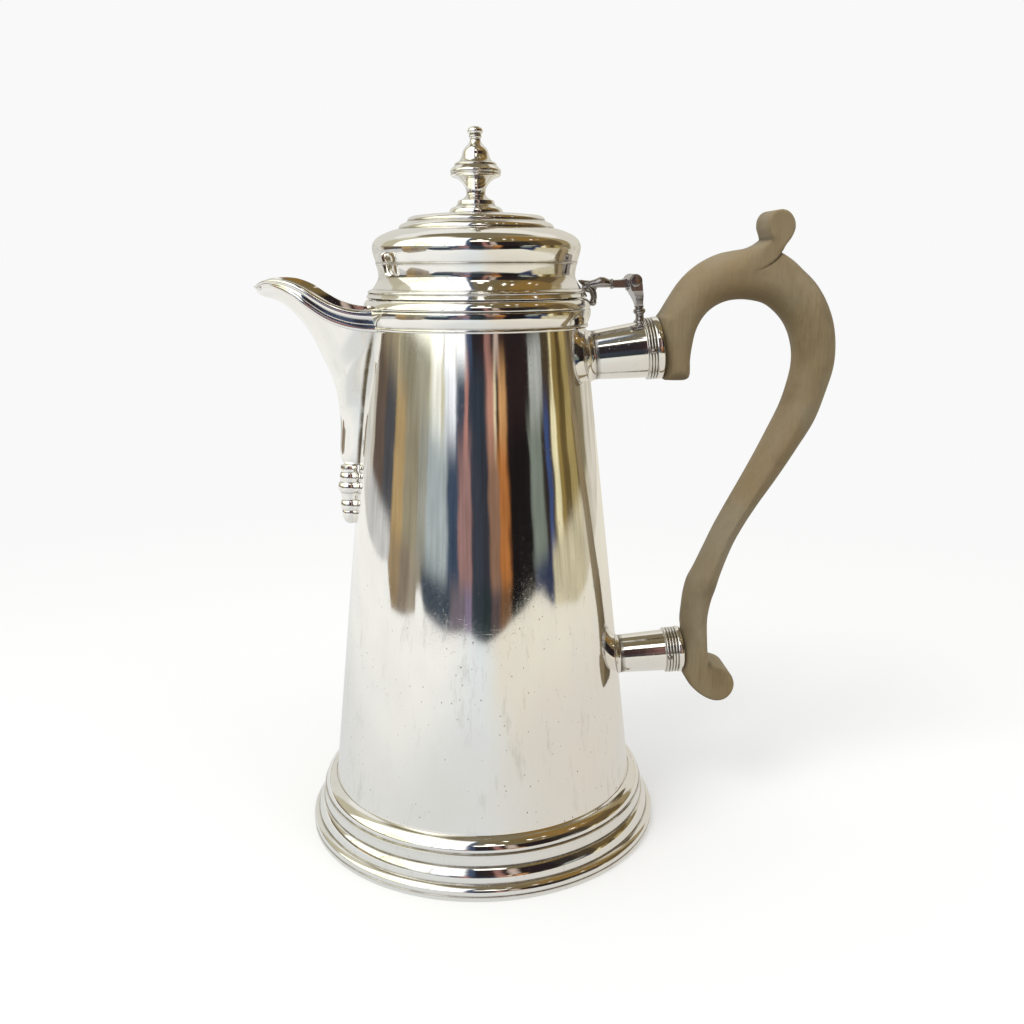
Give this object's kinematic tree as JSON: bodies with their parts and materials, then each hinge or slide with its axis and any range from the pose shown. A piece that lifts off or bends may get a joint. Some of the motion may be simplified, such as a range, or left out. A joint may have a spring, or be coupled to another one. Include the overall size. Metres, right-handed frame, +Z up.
{
  "type": "coffee pot",
  "caption": "Tapered round coffee pot with a beak spout, stepped foot, domed hinged lid with turned finial, and a carved scroll handle held in two pinned sockets.",
  "frame": {"origin": "bottom centre of the whole object's bounding box, on the table under the pot", "axes": "+Z up, +X towards the handle and hinge, -X towards the beak; the vertical mirror plane is XZ"},
  "size_m": [0.1762, 0.1122, 0.216],
  "materials": {
    "silver_sheet": "polished silver sheet with fine scratches",
    "silver_cast": "polished cast and drawn silver mouldings",
    "silver_dull": "satin silver on inner and underside faces",
    "silver_pin": "worn silver pins",
    "fruitwood": "dry, pale brown carved fruitwood, matte"
  },
  "bodies": {
    "pot": {"base_plate": "silver_dull", "foot_ring": "silver_cast", "handle": "fruitwood", "hinge_pin": "silver_pin", "hinge_post": "silver_cast", "lower_collar": "silver_cast", "lower_handle_pin": "silver_pin", "lower_socket": "silver_sheet", "pot_body": "silver_sheet", "rim_moulding": "silver_cast", "spout": "silver_sheet", "spout_drop": "silver_cast", "spout_lip": "silver_cast", "upper_collar": "silver_cast", "upper_handle_pin": "silver_pin", "upper_socket": "silver_sheet"},
    "lid": {"lid_flange": "silver_cast", "lid_bezel": "silver_dull", "lid_shell": "silver_sheet", "finial": "silver_cast", "finial_nut": "silver_dull", "lid_arm": "silver_cast"}
  },
  "joints": [
    {"name": "lid_hinge", "type": "hinge", "parent": "pot", "child": "lid", "pos_m": [0.02474, 0, 0.17202], "axis": [0, 1, 0], "range_deg": [0, 100]}
  ]
}
